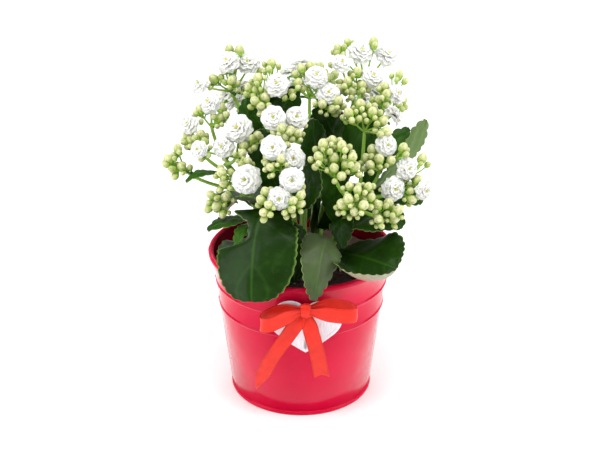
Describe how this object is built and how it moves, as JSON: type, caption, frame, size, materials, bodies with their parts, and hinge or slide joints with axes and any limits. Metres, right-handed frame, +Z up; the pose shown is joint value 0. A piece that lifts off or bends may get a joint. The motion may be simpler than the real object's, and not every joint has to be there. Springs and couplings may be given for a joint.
{
  "type": "potted kalanchoe",
  "caption": "Bushy flowering kalanchoe with scalloped leaves and white double blooms, in a grower's pot inside a tapered tin pail with a heart tag and a ribbon bow.",
  "frame": {"origin": "middle of the pail's flat bottom, on the ground", "axes": "+Z up along the pail's axis; -Y out of the front, where the heart tag and the bow are; +X to the right seen from the front"},
  "size_m": [0.1793, 0.1617, 0.245],
  "materials": {
    "red_enamel": "gloss",
    "tan_plastic": "matte",
    "soil": "rough",
    "silver_tag": "brushed",
    "foam": "matte",
    "satin_ribbon": "satin",
    "stem_green": "satin",
    "leaf_green": "satin",
    "blooms": "matte"
  },
  "bodies": {
    "root": {"pot_wall": "red_enamel", "pot_base": "red_enamel", "nursery_pot": "tan_plastic", "soil": "soil", "heart_tag": "silver_tag", "glue_pad": "foam", "ribbon_bow": "satin_ribbon", "stem_left": "stem_green", "stem_back_left": "stem_green", "stem_front": "stem_green", "stem_right": "stem_green", "stem_top_right": "stem_green", "stem_back": "stem_green", "leaf_front_left": "leaf_green", "leaf_front_dark": "leaf_green", "leaf_front_middle": "leaf_green", "leaf_front_grey": "leaf_green", "leaf_front_wavy": "leaf_green", "leaf_front_narrow": "leaf_green", "leaf_front_right": "leaf_green", "leaf_right_upper": "leaf_green", "leaf_right_outer": "leaf_green", "leaf_left_inner": "leaf_green", "leaf_left_small": "leaf_green", "leaf_left_pointed": "leaf_green", "leaf_left_bract": "leaf_green", "leaf_left_tall": "leaf_green", "leaf_centre_left": "leaf_green", "leaf_right_tall": "leaf_green", "leaf_middle_tall": "leaf_green", "leaf_middle_right": "leaf_green", "leaf_right_spoon": "leaf_green", "leaf_right_slim": "leaf_green", "leaf_back_left": "leaf_green", "leaf_back_middle": "leaf_green", "leaf_back_right": "leaf_green", "flowers_top_left": "blooms", "flowers_left_upper": "blooms", "flowers_left_middle": "blooms", "flowers_far_left": "blooms", "flowers_left_inner": "blooms", "flowers_left_front": "blooms", "flowers_low_left": "blooms", "flowers_centre_back": "blooms", "flowers_centre_upper": "blooms", "flowers_front_upper": "blooms", "flowers_front_lower": "blooms", "flowers_top_centre": "blooms", "flowers_top_middle": "blooms", "flowers_right_upper": "blooms", "flowers_top_right": "blooms", "flowers_middle_band": "blooms", "flowers_centre_buds": "blooms", "flowers_right_middle": "blooms", "flowers_right_outer": "blooms", "flowers_front_right": "blooms", "flowers_low_right": "blooms", "flowers_back_left": "blooms", "flowers_back_middle": "blooms", "flowers_back_right": "blooms"}
  },
  "joints": []
}
